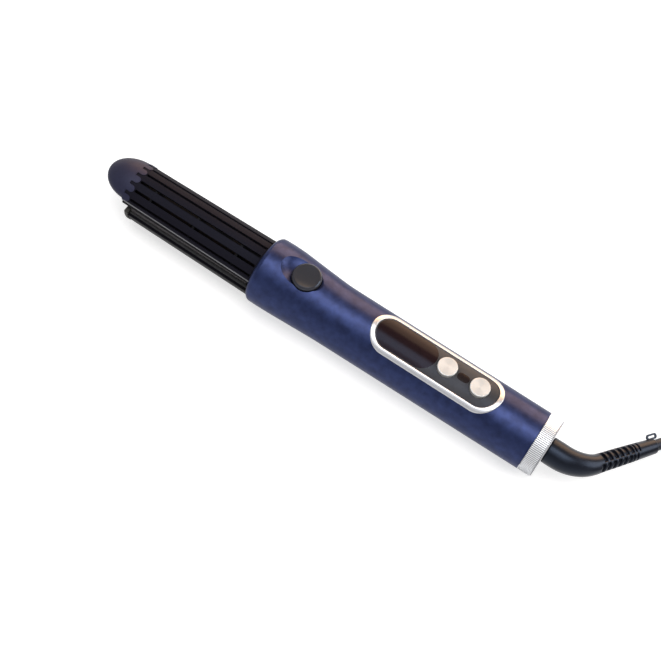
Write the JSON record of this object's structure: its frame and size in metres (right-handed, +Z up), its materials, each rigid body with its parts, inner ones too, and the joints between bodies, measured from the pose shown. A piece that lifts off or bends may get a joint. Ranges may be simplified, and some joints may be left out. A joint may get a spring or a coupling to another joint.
{
  "type": "hair straightener",
  "caption": "Round-barrel clamp hair straightener with air channels, thumb button, control panel on the handle, ribbed air intake ring and a swivelling cord with plug.",
  "frame": {"origin": "middle of the appliance's length and width, at the surface it lies on", "axes": "+X along the body towards the cord, +Z up through the control panel"},
  "size_m": [0.5107, 0.1233, 0.0444],
  "materials": {
    "navy_shell": "metallic navy lacquer, satin gloss",
    "barrel_black": "polished black",
    "matte_navy": "soft-touch dark navy",
    "button_grey": "satin dark grey",
    "plate_coat": "ceramic-coated plate",
    "heater_ceramic": "bare ceramic strip",
    "inner_plastic": "moulded inner part",
    "steel": "plain steel",
    "bezel_silver": "polished silver ring",
    "smoked_lens": "smoked brown gloss",
    "display_dark": "near-black gloss",
    "key_metal": "spun metal",
    "indicator_lens": "clear frosted",
    "board_green": "circuit board",
    "ring_silver": "ribbed bright silver",
    "filter_foam": "open foam",
    "boot_rubber": "satin black rubber",
    "cord_black": "black cord sheath",
    "pin_metal": "nickel-plated brass"
  },
  "bodies": {
    "handle": {"handle_shell": "navy_shell", "upper_shell": "barrel_black", "nose_cap": "matte_navy", "upper_tray": "inner_plastic", "upper_plate": "plate_coat", "upper_heater": "heater_ceramic", "thermal_fuse": "steel", "hinge_pin": "steel", "clamp_spring": "steel", "chassis": "inner_plastic", "root_screws": "steel", "panel_bezel": "bezel_silver", "panel_lens": "smoked_lens", "display_window": "display_dark", "indicator": "indicator_lens", "control_board": "board_green", "key_switches": "inner_plastic", "display_module": "display_dark", "power_board": "board_green", "fan_housing": "inner_plastic", "fan_motor": "steel", "end_cap": "inner_plastic", "intake_filter": "filter_foam"},
    "clamp_arm": {"lower_shell": "barrel_black", "tip_cap": "matte_navy", "clamp_lever": "inner_plastic", "lower_plate": "plate_coat", "lower_heater": "heater_ceramic"},
    "thumb_button": {"clamp_button": "button_grey", "button_stem": "inner_plastic"},
    "power_key": {"power_key": "key_metal"},
    "mode_key": {"mode_key": "key_metal"},
    "intake_ring": {"intake_ring": "ring_silver"},
    "fan_wheel": {"fan_impeller": "inner_plastic"},
    "cord_set": {"swivel_spindle": "inner_plastic", "strain_relief": "boot_rubber", "hang_loop": "boot_rubber", "cord_lead": "cord_black", "cord_coil": "cord_black", "cord_tie": "cord_black", "plug_body": "cord_black", "plug_pins": "pin_metal"}
  },
  "joints": [
    {"name": "cord_swivel", "type": "hinge", "parent": "cord_set", "child": "handle", "pos_m": [0.1608, 0, 0.02], "axis": [1, 0, 0], "continuous": true},
    {"name": "clamp_hinge", "type": "hinge", "parent": "handle", "child": "clamp_arm", "pos_m": [0.0165, 0, 0.009], "axis": [0, -1, 0], "range_deg": [0, 7.5], "stiffness_Nm_per_rad": 0.6, "springref_deg": -22.92, "deforming": ["clamp_spring"]},
    {"name": "button_press", "type": "slide", "parent": "handle", "child": "thumb_button", "axis": [0, 0, -1], "range_m": [0, 0.0037]},
    {"name": "power_key_press", "type": "slide", "parent": "handle", "child": "power_key", "axis": [0, 0, -1], "range_m": [0, 0.0006], "stiffness_N_per_m": 600, "springref_m": -0.001},
    {"name": "mode_key_press", "type": "slide", "parent": "handle", "child": "mode_key", "axis": [0, 0, -1], "range_m": [0, 0.0006], "stiffness_N_per_m": 600, "springref_m": -0.001},
    {"name": "ring_twist", "type": "hinge", "parent": "handle", "child": "intake_ring", "pos_m": [0.1555, 0, 0.02], "axis": [1, 0, 0], "range_deg": [0, 30]},
    {"name": "fan_spin", "type": "hinge", "parent": "handle", "child": "fan_wheel", "pos_m": [0.1441, 0, 0.02], "axis": [1, 0, 0], "continuous": true}
  ],
  "couplings": [
    {"joint": "button_press", "follows": "clamp_hinge", "m_per_rad": 0.028}
  ]
}
